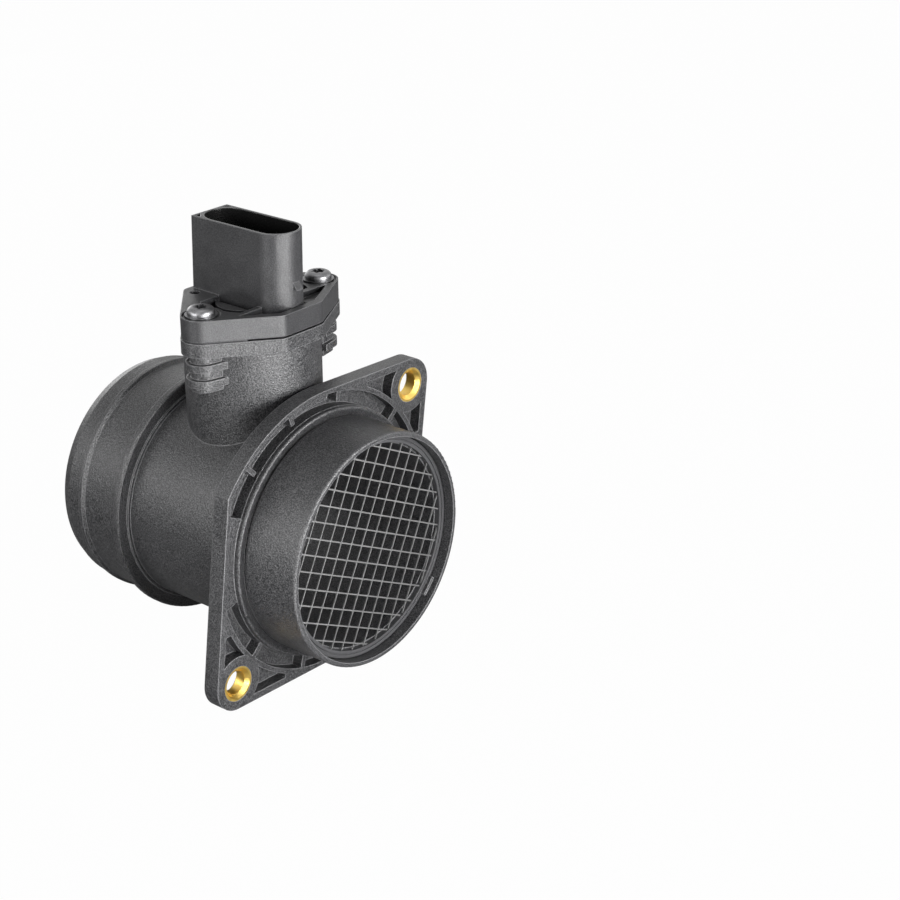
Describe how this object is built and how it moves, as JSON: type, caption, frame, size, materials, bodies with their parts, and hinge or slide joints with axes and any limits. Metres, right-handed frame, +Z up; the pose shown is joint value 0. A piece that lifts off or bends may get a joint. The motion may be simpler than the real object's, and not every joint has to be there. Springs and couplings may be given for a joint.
{
  "type": "mass airflow sensor",
  "caption": "Tubular mass airflow sensor with a wire-screened inlet, two-ear mounting flange and a plug-in hot-film sensor topped by an oval connector socket.",
  "frame": {"origin": "on the duct's axis, half-way through the mounting flange", "axes": "+X along the duct towards the wire-screened inlet, +Z up towards the connector, +Y completes the right-handed set"},
  "size_m": [0.0962, 0.0938, 0.134],
  "materials": {
    "housing_plastic": "fine-grained, satin",
    "sensor_plastic": "fine-grained, satin",
    "cover_plastic": "smooth matte",
    "screen_plastic": "smooth matte",
    "screen_steel": "drawn wire",
    "bush_brass": "turned, slightly dull",
    "screw_steel": "black passivated",
    "terminal_metal": "tinned to gold tint",
    "seal_rubber": "smooth",
    "carrier_metal": "satin",
    "board_ceramic": "matte ceramic",
    "chip_black": "moulded matte",
    "capacitor_tan": "matte ceramic",
    "element_silicon": "polished",
    "bead_glass": "glassy"
  },
  "bodies": {
    "root": {"housing": "housing_plastic", "sensor_body": "sensor_plastic", "screen_ring": "screen_plastic", "wire_screen": "screen_steel", "flange_bush_upper": "bush_brass", "flange_bush_lower": "bush_brass", "sensor_seal": "seal_rubber", "sensor_screw_left": "screw_steel", "sensor_screw_right": "screw_steel", "carrier_plate": "carrier_metal", "circuit_board": "board_ceramic", "control_chip": "chip_black", "output_chip": "chip_black", "filter_capacitor": "capacitor_tan", "trim_resistor": "chip_black", "sensing_element": "element_silicon", "air_temperature_bead": "bead_glass", "electronics_cover": "cover_plastic", "channel_cover": "cover_plastic", "terminal_1": "terminal_metal", "terminal_2": "terminal_metal", "terminal_3": "terminal_metal", "terminal_4": "terminal_metal", "terminal_5": "terminal_metal"}
  },
  "joints": []
}
